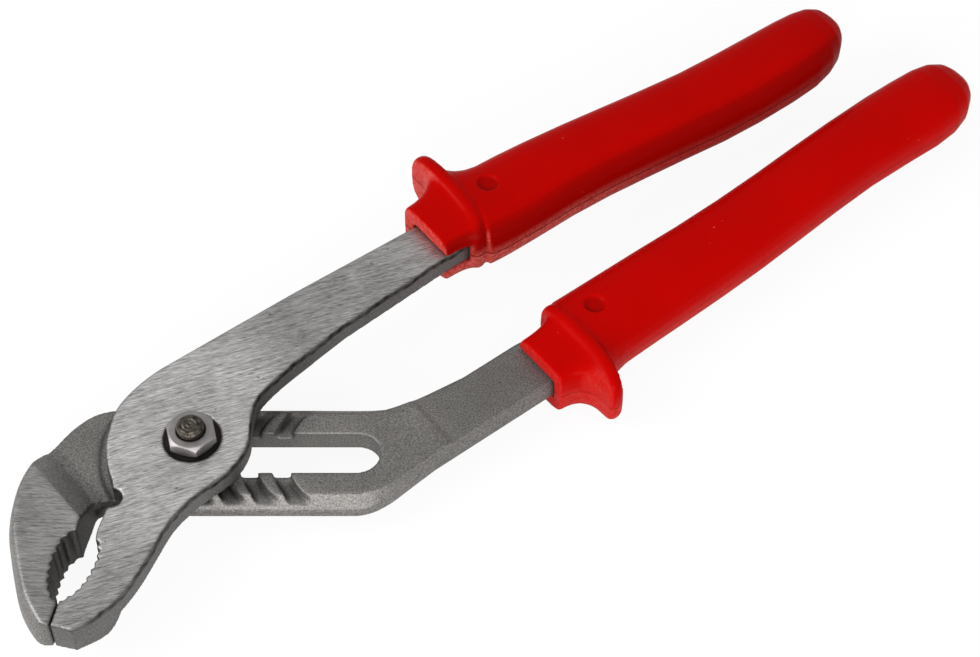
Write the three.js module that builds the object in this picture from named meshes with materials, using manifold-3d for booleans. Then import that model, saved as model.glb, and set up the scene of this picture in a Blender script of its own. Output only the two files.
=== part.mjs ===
// Water pump pliers: two forged steel halves, a stepped bolt with its nut, and two moulded grips.
// Millimetres, +Z up. The bolt's axis is the Z axis and the slot runs along +X.
// The tool lies flat, on the bolt's head and the lower grip, on the plane Z = 0.
import * as THREE from 'three';
import { mergeVertices } from 'three/addons/utils/BufferGeometryUtils.js';
import Module from 'manifold-3d';

const wasm = await Module();
wasm.setup();

// Fits: the gap between faces that touch, the slack of the bolt in its holes, and the overrun of cuts
const fitGap = 0.3;
const boltSlack = 0.2;
const cutOver = 2;

// Steel thicknesses: the slotted lower layer and the plate that lies on it
const armThickness = 5.8;
const plateThickness = 5.5;
const tangStep = 0.4;
const tangStepStartShare = 0.62;
const plateEdge = 0.5;
const armBevelWidth = 2.6;
const armBevelDepth = 2.9;
const footEdge = 0.7;
const armTop = 0;
const armBottom = armTop - armThickness;
const plateBottom = armTop + fitGap;
const plateTop = plateBottom + plateThickness;

// Bolt, from its head up: shoulder in the slot, shank in the plate, thread in the nut
const shoulderDiameter = 9.5;
const shankDiameter = 7.6;
const threadDiameter = 6;
const threadStandOut = 2.1;
const threadDome = 0.8;
const headHeight = 5.5;
const headAcrossFlats = 15;
const headChamfer = 0.9;
const nutAcrossFlats = 10;
const nutHeight = 3.3;
const nutChamfer = 1;
const nutTurn = 14;
const spotfaceDiameter = 12.8;
const spotfaceDepth = 0.6;

// Slot and its grooves: the tool has a groove for each stop of the bolt
const slotWidth = shoulderDiameter + 3 * boltSlack;
const slotTravel = 35;
const slotSlack = 0.3;
const grooveCount = 6;
const groovePitch = slotTravel / (grooveCount - 1);
const grooveRadius = 16.7;
const grooveWidth = 3.5;
const grooveDepth = 1.9;
const grooveSpread = 58;
const armHalfWidth = 13.2;
const rimGrooveRadius = 19.4;
const rimGrooveWidth = 2.8;
const rimGrooveDepth = 0.5;
const rimGrooveSpread = 80;

// Jaws: both reach the same way from the bolt, and their tips meet on one line
const jawReach = 48;
const tipGap = 0.3;
const toothCount = 9;
const toothDepth = 0.85;
const tipThickness = 8.2;
const tipTaperStart = 30;
const throatNotchRadius = 2.3;
const creaseAngle = 49.5;
const creaseDistance = 30.1;
const rampFootDistance = 23.2;
const rampSoftening = 1.1;
const headRadius = 20;

// Handles, in a frame turned to their direction: how far along, and how far across from the bolt
const handleAngle = 38;
const guardAlong = 86.2;
const collarLength = 12.8;
const noseAlong = guardAlong - collarLength;
const plateInnerStart = 3.9;
const plateInnerNose = 6.1;
const plateOuterStart = 19.4;
const plateOuterNose = 18.1;
const slottedHandleInner = -18.9;
const slottedHandleOuter = -33.1;
const tangHalfWidth = 4.6;
const tangEndGap = 18;

// Grips: thickness, widths, and where each collar, guard and end lies
const guardThickness = 3.5;
const guardHalfHeight = 8.5;
const guardRound = 0.7;
const guardBlendLength = 11;
const gripHalfThickness = 7.5;
const gripHalfWidth = 11;
const collarHalfThickness = 6.8;
const upperGripEnd = 196;
const lowerGripEnd = 212.4;
const upperGripCentre = 12.2;
const lowerGripCentre = -26.1;
const upperCollarCentre = 13.9;
const upperCollarHalfWidth = 8.4;
const lowerCollarCentre = -28.4;
const lowerCollarHalfWidth = 7.7;
const upperGuardCentre = 18.4;
const upperGuardHalfWidth = 15.1;
const upperGuardSweep = 3.5;
const upperGuardForward = 0.9;
const lowerGuardCentre = -31;
const lowerGuardHalfWidth = 14.9;
const lowerGuardSweep = 2.6;
const lowerGuardForward = 1.6;
const dimpleDiameter = 4.8;
const dimpleDepth = 0.5;
const dimpleFromGuard = 6.4;
const upperDimpleAcross = 15;
const lowerDimpleAcross = -24.2;

// The tool's height over the plane that it lies on
const liftOff = armThickness + fitGap + headHeight;

// Levels of detail
const roundSteps = 40;
const smallRoundSteps = 24;
const arcSteps = 14;
const gripSides = 28;
const longCurveSteps = 44;
const curveSteps = 24;
const shortCurveSteps = 8;

// Outline points from shares of a size, or of one size along X and another along Y.
// The third value of a point is how much of the edge's bevel it takes.
const bySizes = (sizeX, sizeY) => ([x, y, edge = 1]) => new THREE.Vector3(x * sizeX, y * sizeY, edge);
const bySize = (size) => bySizes(size, size);

function toSolid(geometry) {
  geometry.deleteAttribute('normal');
  geometry.deleteAttribute('uv');
  const merged = mergeVertices(geometry);
  return new wasm.Manifold(new wasm.Mesh({
    numProp: 3,
    vertProperties: new Float32Array(merged.attributes.position.array),
    triVerts: new Uint32Array(merged.index.array),
  }));
}

function toGeometry(solid) {
  const { vertProperties, triVerts } = solid.getMesh();
  const geometry = new THREE.BufferGeometry();
  geometry.setAttribute('position', new THREE.BufferAttribute(vertProperties, 3));
  geometry.setIndex(new THREE.BufferAttribute(triVerts, 1));
  const faceted = geometry.toNonIndexed();
  faceted.computeVertexNormals();
  return faceted;
}

// A smooth line through an outline's points
function curveThrough(points, steps) {
  return new THREE.CatmullRomCurve3(points, false, 'centripetal').getPoints(steps);
}

// A row of teeth along a smooth line, with the metal on the left of the way it runs
function teethThrough(points, count, depth) {
  const line = new THREE.CatmullRomCurve3(points, false, 'centripetal');
  const places = [];
  for (let tooth = 0; tooth < count; tooth += 1) {
    const crest = line.getPointAt(tooth / count);
    const root = line.getPointAt((tooth + 0.5) / count);
    const way = line.getTangentAt((tooth + 0.5) / count);
    places.push(new THREE.Vector3(crest.x, crest.y, 0));
    places.push(new THREE.Vector3(root.x - way.y * depth, root.y + way.x * depth, 0));
  }
  return places;
}

// Moves an outline inwards, each point by its own share of the distance
function insetOutline(points, distance) {
  const count = points.length;
  return points.map((point, i) => {
    const before = points[(i + count - 1) % count];
    const after = points[(i + 1) % count];
    const wayIn = new THREE.Vector2(point.x - before.x, point.y - before.y).normalize();
    const wayOut = new THREE.Vector2(after.x - point.x, after.y - point.y).normalize();
    const normal = new THREE.Vector2(-wayIn.y - wayOut.y, wayIn.x + wayOut.x).normalize();
    const spread = Math.max(normal.x * -wayOut.y + normal.y * wayOut.x, 0.5);
    const move = (distance * point.z) / spread;
    return new THREE.Vector2(point.x + normal.x * move, point.y + normal.y * move);
  });
}

// A closed solid from one outline at several heights, each with its own inset
function slab(outline, levels) {
  const corners = [];
  const faces = [];
  const count = outline.length;
  const rings = levels.map(([z, inset]) => {
    const ring = insetOutline(outline, inset);
    ring.forEach((p) => corners.push(p.x, p.y, z));
    return ring;
  });
  for (let level = 0; level + 1 < levels.length; level += 1) {
    for (let i = 0; i < count; i += 1) {
      const low = level * count + i;
      const lowNext = level * count + ((i + 1) % count);
      faces.push(low, lowNext, lowNext + count, low, lowNext + count, low + count);
    }
  }
  const top = (levels.length - 1) * count;
  for (const [a, b, c] of THREE.ShapeUtils.triangulateShape(rings[0], [])) {
    faces.push(a, c, b);
  }
  for (const [a, b, c] of THREE.ShapeUtils.triangulateShape(rings[rings.length - 1], [])) {
    faces.push(top + a, top + b, top + c);
  }
  const geometry = new THREE.BufferGeometry();
  geometry.setAttribute('position', new THREE.Float32BufferAttribute(corners, 3));
  geometry.setIndex(faces);
  return toSolid(geometry);
}

// An upright round disc or rod
function disc(radius, low, high, x = 0, y = 0, steps = roundSteps) {
  const geometry = new THREE.CylinderGeometry(radius, radius, high - low, steps);
  geometry.rotateX(Math.PI / 2);
  geometry.translate(x, y, (low + high) / 2);
  return toSolid(geometry);
}

// A turned solid about the Z axis, from a profile of radius and height
function turned(profile, steps = roundSteps) {
  const points = profile.map(([radius, height]) => new THREE.Vector2(radius, height));
  const geometry = new THREE.LatheGeometry(points, steps);
  geometry.rotateX(Math.PI / 2);
  return toSolid(geometry);
}

// An upright hexagonal prism with its edges rounded off by a cone at the end that shows
function hexagon(acrossFlats, low, high, chamfer, chamferLow) {
  const corner = acrossFlats / Math.sqrt(3);
  const prism = new THREE.CylinderGeometry(corner, corner, high - low, 6);
  prism.rotateX(Math.PI / 2);
  prism.rotateZ((nutTurn * Math.PI) / 180);
  prism.translate(0, 0, (low + high) / 2);
  const wide = acrossFlats / 2 + chamfer;
  const lowWide = chamferLow ? acrossFlats / 2 - chamfer / 4 : wide;
  const highWide = chamferLow ? wide : acrossFlats / 2 - chamfer / 4;
  const rounding = turned([
    [0, low],
    [lowWide, low],
    [wide, chamferLow ? low + chamfer : low],
    [wide, chamferLow ? high : high - chamfer],
    [highWide, high],
    [0, high],
  ]);
  return toSolid(prism).intersect(rounding);
}

// A flat band that follows an arc about a point of the slot's centre line, open towards +X
function arcBand(centreX, radius, width, spread, low, high) {
  const from = Math.PI - (spread * Math.PI) / 180;
  const to = Math.PI + (spread * Math.PI) / 180;
  const shape = new THREE.Shape();
  shape.absarc(centreX, 0, radius + width / 2, from, to, false);
  shape.absarc(centreX, 0, radius - width / 2, to, from, true);
  const geometry = new THREE.ExtrudeGeometry(shape, {
    depth: high - low,
    bevelEnabled: false,
    curveSegments: arcSteps,
  });
  geometry.translate(0, 0, low);
  return toSolid(geometry);
}

// Upright walls round an outline drawn in a vertical plane, long enough to pass through both jaws
function sideCut(profile, turn) {
  const shape = new THREE.Shape(profile.map(([across, height]) => new THREE.Vector2(across, height)));
  const geometry = new THREE.ExtrudeGeometry(shape, { depth: 4 * jawReach, bevelEnabled: false });
  geometry.translate(0, 0, -2 * jawReach);
  geometry.rotateX(Math.PI / 2);
  geometry.rotateZ((turn * Math.PI) / 180);
  return toSolid(geometry);
}

// From the handles' frame to the tool's frame
function fromHandle(along, across, edge = 1) {
  const turn = (handleAngle * Math.PI) / 180;
  return new THREE.Vector3(
    along * Math.cos(turn) - across * Math.sin(turn),
    along * Math.sin(turn) + across * Math.cos(turn),
    edge,
  );
}

// The line on which the jaws' tips meet, as shares of the reach
const contactRootShare = [-0.504, -0.841];
const contactTipShare = [-0.53, -0.968];

function contactLine(side) {
  const shift = (side * tipGap) / 2;
  return [contactRootShare, contactTipShare].map(([x, y]) => (
    new THREE.Vector3(x * jawReach + shift, y * jawReach, 0)
  ));
}

// The tang inside each grip: where its centre line lies, as shares of the grip's length and width
const upperSpineShares = [
  [0.08, 0.04], [0.19, 0], [0.29, -0.08], [0.39, -0.2], [0.49, -0.325],
  [0.6, -0.46], [0.71, -0.525], [0.8, -0.54], [0.89, -0.53], [0.945, -0.47], [1, -0.38],
];
const lowerSpineShares = [
  [0.08, 0.03], [0.16, 0.05], [0.25, 0.05], [0.35, 0.07], [0.45, 0.125],
  [0.56, 0.22], [0.67, 0.31], [0.78, 0.335], [0.89, 0.31], [0.945, 0.34], [1, 0.42],
];

function spine(centre, end, shares) {
  const length = end - guardAlong;
  return shares.map(([along, across]) => ({
    along: guardAlong + along * length,
    across: centre + across * gripHalfWidth,
    share: along,
  }));
}

const upperSpine = spine(upperGripCentre, upperGripEnd, upperSpineShares);
const lowerSpine = spine(lowerGripCentre, lowerGripEnd, lowerSpineShares);

// The tang's two sides, out along the right side and back along the left
function tangSides(line, end, grow, edge) {
  const last = end - tangEndGap;
  const inside = line.filter((place) => place.along < last);
  const right = inside.map((p) => fromHandle(p.along, p.across - tangHalfWidth - grow, edge));
  const left = inside.map((p) => fromHandle(p.along, p.across + tangHalfWidth + grow, edge));
  const tip = inside[inside.length - 1];
  const tipNarrow = tangHalfWidth / 2 + grow;
  right.push(fromHandle(last + grow, tip.across - tipNarrow, edge));
  left.push(fromHandle(last + grow, tip.across + tipNarrow, edge));
  return { right, left: left.reverse() };
}

// The plate's outline, in shares of the jaw's reach and of the head's radius. Its lower side's
// points are shares of the way to the grip, with how far the side has drawn in towards the grip.
const plateUndersideShares = [[0.6, 0.35], [0.8, 0.67], [1, 1]];
const plateShoulderShare = 0.55;
const throatNotchShares = [-0.795, -0.77];
const plateJawBackShares = [
  [-0.43, -0.997, 0.4], [-0.395, -0.975, 0.6], [-0.32, -0.91], [-0.255, -0.845], [-0.19, -0.74],
  [-0.15, -0.655], [-0.115, -0.57], [-0.05, -0.425], [0.06, -0.29], [0.18, -0.182],
  [0.236, -0.09], [0.258, -0.015], [0.26, 0.05], [0.262, 0.12], [0.275, 0.2],
  [0.33, 0.29], [0.43, 0.405],
];
const plateHeadShares = [
  [-0.42, 0.935, 0.7], [-0.585, 0.78, 0.7], [-0.76, 0.56, 0.7], [-0.86, 0.375, 0.7],
  [-0.905, 0.15, 0.7], [-0.922, -0.06, 0.7], [-0.905, -0.245, 0.7], [-0.855, -0.45, 0.7],
  [-0.8, -0.6, 0.5], [-0.81, -0.8, 0], [-0.85, -0.97, 0],
];
const plateMouthShares = [
  [-0.367, -0.448, 0], [-0.377, -0.494, 0], [-0.379, -0.537, 0],
];
const plateTeethShares = [
  [-0.379, -0.5375], [-0.367, -0.619], [-0.381, -0.673], [-0.408, -0.744], [-0.45, -0.804],
  [-0.502, -0.838],
];
const plateBlockBackShares = [
  [-0.43, -0.992], [-0.36, -0.95], [-0.305, -0.9], [-0.276, -0.83], [-0.263, -0.74],
  [-0.268, -0.6], [-0.28, -0.46], [-0.305, -0.4, 0.3],
];

function plateMouth() {
  const [root, tip] = contactLine(1);
  return [
    ...curveThrough(plateMouthShares.map(bySize(jawReach)), shortCurveSteps).slice(0, -1),
    ...teethThrough(plateTeethShares.map(bySize(jawReach)), toothCount, toothDepth),
    root,
    tip,
  ];
}

function plateOutline() {
  const tang = tangSides(upperSpine, upperGripEnd, 0, 1);
  return [
    ...curveThrough(plateJawBackShares.map(bySize(jawReach)), longCurveSteps),
    ...plateUndersideShares.map(([along, way]) => (
      fromHandle(along * noseAlong, THREE.MathUtils.lerp(plateInnerStart, plateInnerNose, way))
    )),
    fromHandle(guardAlong - guardThickness, plateInnerNose),
    ...tang.right,
    ...tang.left,
    fromHandle(guardAlong, plateOuterNose),
    fromHandle(noseAlong, plateOuterNose),
    fromHandle(plateShoulderShare * noseAlong, plateOuterStart),
    ...curveThrough(plateHeadShares.map(bySize(headRadius)), curveSteps),
    ...plateMouth(),
  ];
}

// Underside of both jaws, which thins towards the tips
function tipUnderside() {
  const tipLow = plateTop - tipThickness;
  return sideCut([
    [-tipTaperStart, armBottom],
    [-tipTaperStart, armBottom - cutOver],
    [-2 * jawReach, armBottom - cutOver],
    [-2 * jawReach, tipLow],
    [-jawReach, tipLow],
  ], 90);
}

function tongueHalf() {
  const plate = slab(plateOutline(), [
    [plateBottom, 0],
    [plateTop - plateEdge, 0],
    [plateTop, plateEdge],
  ]);
  const blockBack = curveThrough(plateBlockBackShares.map(bySize(jawReach)), curveSteps);
  const block = slab([...blockBack, ...plateMouth()], [
    [armBottom, footEdge],
    [armBottom + footEdge, 0],
    [plateBottom + plateThickness / 2, 0],
  ]);
  const [notchX, notchY] = throatNotchShares.map((share) => share * headRadius);
  const notch = disc(
    throatNotchRadius,
    armBottom - cutOver,
    plateTop + cutOver,
    notchX,
    notchY,
    smallRoundSteps,
  );
  const boltHole = disc(shankDiameter / 2 + boltSlack, plateBottom - cutOver, plateTop + cutOver);
  const spotface = disc(spotfaceDiameter / 2, plateTop - spotfaceDepth, plateTop + cutOver);
  return plate.add(block)
    .subtract(tipUnderside())
    .subtract(notch)
    .subtract(boltHole)
    .subtract(spotface);
}

// The slotted half's outlines: the flat layer with its arms and handle, and the thick jaw.
// The arms' points are shares of the jaw's reach or the slot's travel, and of the arms' half width.
const neckNearShares = [
  [-0.504, -0.5, 0], [-0.42, -1, 0.2], [-0.2, -1],
];
const neckBackShares = [
  [-0.1, 1, 0.8], [-0.25, 0.953, 0.4], [-0.37, 0.858, 0.3], [-0.456, 0.778, 0.3],
];
const elbowNearShares = [
  [1.015, -1], [1.083, -0.964], [1.152, -0.88, 0.8], [1.234, -0.727, 0.6],
];
const elbowFarShares = [
  [1.371, 1.182, 0.4], [1.275, 1.084, 0.5], [1.166, 1.018, 0.8], [1.029, 1], [0.891, 1],
];
const handleOuterShares = [0.55, 0.8, 1];
const handleInnerShares = [1, 0.8];
// How much of the arms' bevel the handle's two sides and its tang take
const outerSideBevel = 0.45;
const innerSideBevel = 0.3;
const tangBevel = 0.4;
const jawOuterShares = [
  [-0.3, 0.245, 0.1], [-0.37, 0.238, 0.2], [-0.456, 0.217, 0.3], [-0.523, 0.173, 0.4],
  [-0.58, 0.112, 0.5], [-0.636, 0.03, 0.6], [-0.694, -0.062, 0.8], [-0.746, -0.15], [-0.776, -0.25],
  [-0.787, -0.373], [-0.78, -0.477], [-0.76, -0.573], [-0.732, -0.683], [-0.697, -0.8],
  [-0.66, -0.88], [-0.605, -0.955, 0.8], [-0.575, -0.97, 0.4],
];
const slottedTeethShares = [
  [-0.516, -0.838], [-0.536, -0.804], [-0.549, -0.765], [-0.553, -0.72], [-0.551, -0.68],
  [-0.548, -0.645], [-0.538, -0.594], [-0.524, -0.553], [-0.504, -0.52], [-0.468, -0.495],
];
const slottedMouthShares = [
  [-0.466, -0.49, 0], [-0.463, -0.455, 0], [-0.452, -0.405, 0], [-0.44, -0.35, 0],
  [-0.43, -0.3, 0], [-0.415, -0.275, 0], [-0.3, -0.25, 0],
];
// How the thick jaw's sides round off: shares of the height below and above the arms' top, each
// with its inset as a share of the foot's edge
const jawLowerRoundShares = [[1, 1.7], [0.62, 0.5], [0.2, 0]];
const jawUpperRoundShares = [[0.3, 0.4], [0.82, 1.7], [1, 2.7]];

function slottedLayer() {
  const tang = tangSides(lowerSpine, lowerGripEnd, 0, tangBevel);
  const outerSide = handleOuterShares.map((share) => (
    fromHandle(share * noseAlong, slottedHandleOuter, outerSideBevel)
  ));
  const innerSide = handleInnerShares.map((share) => (
    fromHandle(share * noseAlong, slottedHandleInner, innerSideBevel)
  ));
  return [
    ...neckNearShares.map(bySizes(jawReach, armHalfWidth)),
    ...curveThrough(elbowNearShares.map(bySizes(slotTravel, armHalfWidth)), shortCurveSteps),
    ...outerSide,
    ...tang.right,
    ...tang.left,
    ...innerSide,
    ...curveThrough(elbowFarShares.map(bySizes(slotTravel, armHalfWidth)), shortCurveSteps),
    ...curveThrough(neckBackShares.map(bySizes(jawReach, armHalfWidth)), shortCurveSteps),
  ];
}

function slottedJaw() {
  const [root, tip] = contactLine(-1);
  return [
    tip,
    root,
    ...teethThrough(slottedTeethShares.map(bySize(jawReach)), toothCount, toothDepth),
    ...curveThrough(slottedMouthShares.map(bySize(jawReach)), shortCurveSteps),
    ...curveThrough(jawOuterShares.map(bySize(jawReach)), longCurveSteps),
  ];
}

function slottedHalf() {
  const layer = slab(slottedLayer(), [
    [armBottom, footEdge],
    [armBottom + footEdge, 0],
    [armTop - armBevelDepth, 0],
    [armTop, armBevelWidth],
  ]);
  const jaw = slab(slottedJaw(), [
    ...jawLowerRoundShares.map(([level, inset]) => [level * armBottom, inset * footEdge]),
    ...jawUpperRoundShares.map(([level, inset]) => [level * plateTop, inset * footEdge]),
  ]);
  // The jaw stands up over the neck behind a sloping step
  const ramp = sideCut([
    [-creaseDistance, plateTop],
    [-rampFootDistance - rampSoftening, armTop + rampSoftening / 2],
    [-rampFootDistance + rampSoftening, armTop],
    [2 * jawReach, armTop],
    [2 * jawReach, plateTop + cutOver],
    [-creaseDistance, plateTop + cutOver],
  ], 90 - creaseAngle);
  const slot = slab([
    ...slotEnd(slotTravel + slotSlack, -90),
    ...slotEnd(-slotSlack, 90),
  ], [[armBottom - cutOver, 0], [armTop + cutOver, 0]]);
  const rim = arcBand(
    0,
    rimGrooveRadius,
    rimGrooveWidth,
    rimGrooveSpread,
    armTop - rimGrooveDepth,
    armTop + cutOver,
  );
  const stepStart = tangStepStartShare * noseAlong;
  const tangRelief = slab([
    fromHandle(stepStart, slottedHandleOuter - cutOver),
    fromHandle(lowerGripEnd, slottedHandleOuter - cutOver),
    fromHandle(lowerGripEnd, lowerGripCentre + jawReach / 2),
    fromHandle(stepStart, slottedHandleInner + cutOver),
  ], [[armTop - tangStep, 0], [armTop + cutOver, 0]]);
  let half = layer.add(jaw)
    .subtract(ramp)
    .subtract(tipUnderside())
    .subtract(slot)
    .subtract(rim)
    .subtract(tangRelief);
  for (let groove = 0; groove < grooveCount; groove += 1) {
    half = half.subtract(arcBand(
      groove * groovePitch,
      grooveRadius,
      grooveWidth,
      grooveSpread,
      armTop - grooveDepth,
      armTop + cutOver,
    ));
  }
  return half;
}

// Half a circle of the slot's width about a point of its centre line
function slotEnd(centreX, start) {
  const places = [];
  const steps = roundSteps / 2;
  for (let i = 0; i <= steps; i += 1) {
    const turn = ((start + (180 * i) / steps) * Math.PI) / 180;
    const x = centreX + (Math.cos(turn) * slotWidth) / 2;
    places.push(new THREE.Vector3(x, (Math.sin(turn) * slotWidth) / 2, 1));
  }
  return places;
}

// The bolt and its nut
const nutLow = plateTop - spotfaceDepth + fitGap;
const nutHigh = nutLow + nutHeight;

function bolt() {
  const headTop = armBottom - fitGap;
  const head = hexagon(headAcrossFlats, headTop - headHeight, headTop, headChamfer, true);
  const shank = turned([
    [0, headTop - headHeight / 2],
    [shoulderDiameter / 2, headTop - headHeight / 2],
    [shoulderDiameter / 2, armTop - fitGap],
    [shankDiameter / 2, armTop - fitGap],
    [shankDiameter / 2, nutLow - fitGap],
    [threadDiameter / 2, nutLow - fitGap],
    [threadDiameter / 2, nutHigh + threadStandOut - threadDome],
    [threadDiameter / 2 - threadDome, nutHigh + threadStandOut],
    [0, nutHigh + threadStandOut],
  ]);
  return head.add(shank);
}

function nut() {
  const body = hexagon(nutAcrossFlats, nutLow, nutHigh, nutChamfer, false);
  const underside = hexagon(nutAcrossFlats, nutLow, nutHigh, nutChamfer, true);
  const bore = disc(threadDiameter / 2 + boltSlack, nutLow - cutOver, nutHigh + cutOver);
  return body.intersect(underside).subtract(bore);
}

// One ring of a grip: an oval with flattened sides across the handle. Its sweep is how far the
// ring's right side reaches forward of its middle.
function gripRing(section, height) {
  const ring = [];
  for (let i = 0; i < gripSides; i += 1) {
    const turn = (2 * Math.PI * i) / gripSides;
    const c = Math.cos(turn);
    const s = Math.sin(turn);
    const across = section.halfWidth * Math.sign(c) * Math.abs(c) ** (2 / section.power);
    const up = section.halfHeight * Math.sign(s) * Math.abs(s) ** (2 / section.power);
    const rightShare = Math.max(0, -across / section.halfWidth);
    ring.push(new THREE.Vector3(
      section.along - section.sweep * rightShare ** 2,
      section.across + across,
      height + up,
    ));
  }
  return ring;
}

// A section part of the way from one to another
function sectionBetween(from, to, way) {
  const section = {};
  for (const size of ['across', 'halfWidth', 'halfHeight', 'power']) {
    section[size] = THREE.MathUtils.lerp(from[size], to[size], way);
  }
  return section;
}

// A closed solid through rings, with flat ends
function loft(rings) {
  const corners = [];
  const faces = [];
  const count = gripSides;
  rings.forEach((ring) => ring.forEach((p) => corners.push(p.x, p.y, p.z)));
  for (let r = 0; r + 1 < rings.length; r += 1) {
    for (let i = 0; i < count; i += 1) {
      const here = r * count + i;
      const next = r * count + ((i + 1) % count);
      faces.push(here, next, next + count, here, next + count, here + count);
    }
  }
  const last = (rings.length - 1) * count;
  for (let i = 1; i + 1 < count; i += 1) {
    faces.push(0, i + 1, i);
    faces.push(last, last + i, last + i + 1);
  }
  const geometry = new THREE.BufferGeometry();
  geometry.setAttribute('position', new THREE.Float32BufferAttribute(corners, 3));
  geometry.setIndex(faces);
  return toSolid(geometry);
}

// Rings behind the guard: share of the grip's length, then of its half thickness, and of its half
// width on the upper and on the lower grip
const gripRingShares = [
  [0.13, 0.98, 1.02, 0.93], [0.2, 1, 0.98, 0.915], [0.3, 1, 0.945, 0.89], [0.4, 1, 0.925, 0.87],
  [0.5, 1, 0.91, 0.85], [0.6, 1, 0.91, 0.84], [0.7, 1, 0.91, 0.84], [0.8, 1, 0.895, 0.865],
  [0.87, 0.99, 0.865, 0.875], [0.92, 0.95, 0.79, 0.845], [0.955, 0.86, 0.68, 0.75],
  [0.98, 0.68, 0.52, 0.58], [0.995, 0.44, 0.34, 0.38], [1, 0.2, 0.16, 0.17],
];
// Shares of the way from nose to guard, and how far the collar has flared to the guard's size
const collarShares = [
  [0.04, 0], [0.3, 0.02], [0.5, 0.06], [0.7, 0.14], [0.85, 0.26], [0.94, 0.38], [1, 0.52],
];
const guardRoundShares = [[0, 1], [0.12, 0.5], [0.35, 0.1], [0.65, 0.1], [0.88, 0.5], [1, 1]];
// Shares of the way from the guard to the body, and how much of the guard's size is left
const blendShares = [[0, 0.5], [0.08, 0.35], [0.22, 0.21], [0.42, 0.1], [0.68, 0.03]];
// How square the grip's sections are: 2 is an oval, and a larger power is squarer
const bodyPower = 2.7;
const upperCollarPower = 5;
const lowerCollarPower = 5;
const guardPower = 3.7;

function spineAt(line, share) {
  const points = line.map((place) => new THREE.Vector3(place.share, place.across, 0));
  let low = 0;
  while (low + 2 < points.length && points[low + 1].x < share) {
    low += 1;
  }
  const from = points[low];
  const to = points[low + 1];
  const mix = THREE.MathUtils.clamp((share - from.x) / (to.x - from.x), 0, 1);
  return from.y + (to.y - from.y) * mix;
}

// A grip from its collar's nose over the guard to its rounded end, in one skin
function grip({ height, end, line, widthColumn, collar, guard, dimpleAcross }) {
  const length = end - guardAlong;
  const body = gripRingShares.map((shares) => ({
    along: guardAlong + shares[0] * length,
    across: spineAt(line, shares[0]),
    halfWidth: shares[widthColumn] * gripHalfWidth,
    halfHeight: shares[1] * gripHalfThickness,
    power: bodyPower,
    sweep: 0,
  }));
  const guardFront = guard.along - guardThickness / 2;
  const guardBack = guard.along + guardThickness / 2;
  const nose = {
    ...collar,
    along: noseAlong,
    halfWidth: collar.halfWidth - fitGap,
    halfHeight: collar.halfHeight - fitGap,
    sweep: 0,
  };
  const sections = [
    nose,
    ...collarShares.map(([way, flare]) => ({
      ...sectionBetween(collar, guard, flare),
      along: THREE.MathUtils.lerp(noseAlong, guardFront, way),
      sweep: way * guard.sweep,
    })),
    ...guardRoundShares.map(([way, round]) => ({
      ...guard,
      along: THREE.MathUtils.lerp(guardFront, guardBack, way),
      halfWidth: guard.halfWidth - round * guardRound,
      halfHeight: guard.halfHeight - round * guardRound,
    })),
    ...blendShares.map(([way, rest]) => ({
      ...sectionBetween(body[0], guard, rest),
      along: guardBack + way * guardBlendLength,
      sweep: (1 - way) * guard.sweep,
    })),
    ...body,
  ];
  const dimpleTop = height + gripHalfThickness;
  const dimple = disc(
    dimpleDiameter / 2,
    dimpleTop - dimpleDepth,
    dimpleTop + cutOver,
    guardAlong + dimpleFromGuard,
    dimpleAcross,
    smallRoundSteps,
  );
  return loft(sections.map((section) => gripRing(section, height))).subtract(dimple);
}

// The space that a half's tang needs in its grip, turned to the handles' frame
function socket(outline, low, high) {
  const turn = (-handleAngle * Math.PI) / 180;
  const turnedOutline = outline.map((p) => (
    new THREE.Vector3(p.x, p.y, 0).applyAxisAngle(new THREE.Vector3(0, 0, 1), turn)
  ));
  return slab(turnedOutline, [[low - fitGap, 0], [high + fitGap, 0]]);
}

// The room that a half's handle takes in its grip, between its lower and its higher side
function tangRoom(line, end, lowSide, highSide) {
  const tang = tangSides(line, end, fitGap, 0);
  return [
    fromHandle(noseAlong - cutOver, lowSide - fitGap, 0),
    fromHandle(guardAlong - guardThickness, lowSide - fitGap, 0),
    ...tang.right,
    ...tang.left,
    fromHandle(guardAlong, highSide + fitGap, 0),
    fromHandle(noseAlong - cutOver, highSide + fitGap, 0),
  ];
}

const upperGripHeight = (plateBottom + plateTop) / 2;
const lowerGripHeight = (armBottom + armTop - tangStep) / 2;

// The upper collar leaves the steel's inner side bare, from its nose nearly to the guard
const windowShare = 0.5;

function upperGripWindow() {
  const outside = upperGripCentre - 2 * gripHalfWidth;
  const windowEnd = noseAlong + windowShare * collarLength;
  return [
    fromHandle(noseAlong - cutOver, outside, 0),
    fromHandle(windowEnd, outside, 0),
    fromHandle(windowEnd, plateInnerNose + fitGap, 0),
    fromHandle(noseAlong - cutOver, plateInnerNose + fitGap, 0),
  ];
}

function upperGrip() {
  return grip({
    height: upperGripHeight,
    end: upperGripEnd,
    line: upperSpine,
    widthColumn: 2,
    collar: {
      across: upperCollarCentre,
      halfWidth: upperCollarHalfWidth,
      halfHeight: collarHalfThickness,
      power: upperCollarPower,
    },
    guard: {
      along: guardAlong - upperGuardForward,
      across: upperGuardCentre,
      halfWidth: upperGuardHalfWidth,
      halfHeight: guardHalfHeight,
      power: guardPower,
      sweep: upperGuardSweep,
    },
    dimpleAcross: upperDimpleAcross,
  }).subtract(socket(
    tangRoom(upperSpine, upperGripEnd, plateInnerNose, plateOuterNose),
    plateBottom,
    plateTop,
  )).subtract(socket(upperGripWindow(), plateBottom, plateTop));
}

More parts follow.
